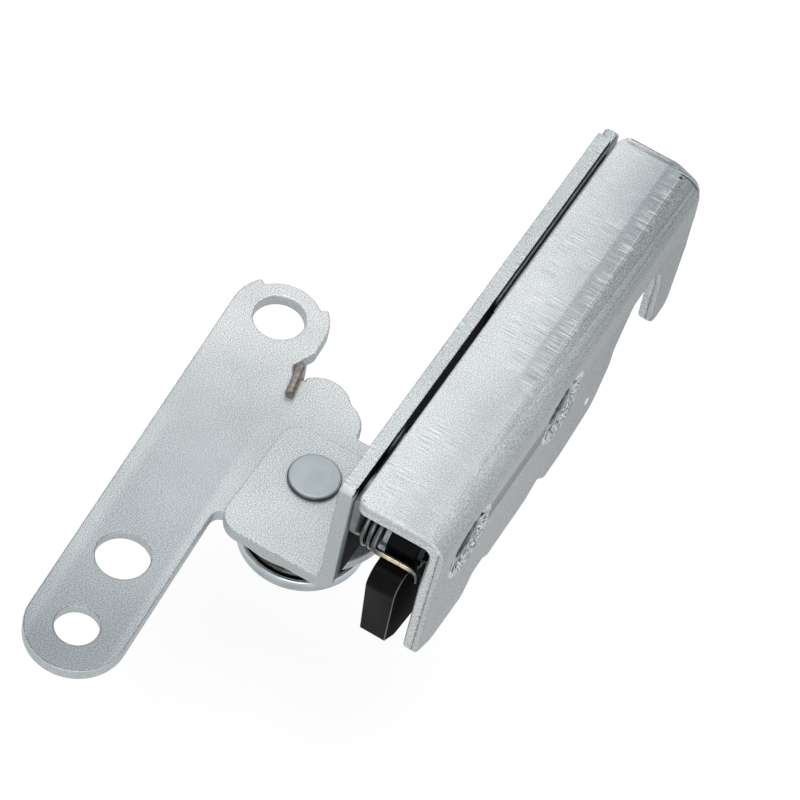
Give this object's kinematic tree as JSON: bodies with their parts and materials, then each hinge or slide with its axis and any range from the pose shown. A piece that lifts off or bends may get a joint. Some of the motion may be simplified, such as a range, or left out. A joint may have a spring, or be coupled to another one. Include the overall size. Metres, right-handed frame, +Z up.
{
  "type": "door latch",
  "caption": "Door latch with a folded zinc-plated cover ending in a hook, a black sprung catch lever and a sprung swinging arm with mounting holes.",
  "frame": {"origin": "centre of the front threaded hole in the cover's flange, half-way through its wall", "axes": "+X along the cover towards its hooked end, +Y across it towards the swinging arm, +Z up, along the arm's pivot and out of the web"},
  "size_m": [0.1505, 0.0709, 0.0515],
  "materials": {
    "cover_zinc": "satin zinc plate, fine grain with faint cross brushing",
    "bracket_zinc": "satin zinc plate",
    "arm_zinc": "satin zinc plate",
    "rivet_steel": "smooth zinc plate",
    "bright_steel": "bright turned steel",
    "spring_steel": "drawn wire, grey-brown",
    "lever_black": "satin black moulding",
    "bush_plastic": "dark nylon"
  },
  "bodies": {
    "housing": {"housing_cover": "cover_zinc", "side_plate": "cover_zinc", "hinge_bracket": "bracket_zinc", "pivot_rivet": "rivet_steel", "upper_thrust_washer": "bright_steel", "lower_thrust_washer": "bright_steel", "spring_spool": "bush_plastic", "spring_cup": "bright_steel", "arm_spring": "spring_steel", "lever_pin": "bright_steel", "pin_clip": "bright_steel", "pin_washer": "bright_steel", "spring_sleeve": "bush_plastic", "lever_spring": "spring_steel", "front_plate_rivet": "rivet_steel", "middle_plate_rivet": "rivet_steel", "rear_plate_rivet": "rivet_steel"},
    "arm": {"arm_plate": "arm_zinc", "pivot_bush": "bush_plastic"},
    "lever": {"catch_lever": "lever_black", "lever_cheek": "bright_steel", "lever_bush": "bush_plastic"}
  },
  "joints": [
    {"name": "arm_pivot", "type": "hinge", "parent": "housing", "child": "arm", "pos_m": [0.0061, 0.032, -0.0209], "axis": [0, 0, 1], "range_deg": [-70, 0], "stiffness_Nm_per_rad": 0.3, "springref_deg": 28.65, "deforming": ["arm_spring"]},
    {"name": "lever_pivot", "type": "hinge", "parent": "housing", "child": "lever", "pos_m": [-0.0065, 0.0076, 0.0007], "axis": [0, 1, 0], "range_deg": [0, 25], "stiffness_Nm_per_rad": 0.08, "springref_deg": -22.92, "deforming": ["lever_spring"]}
  ]
}
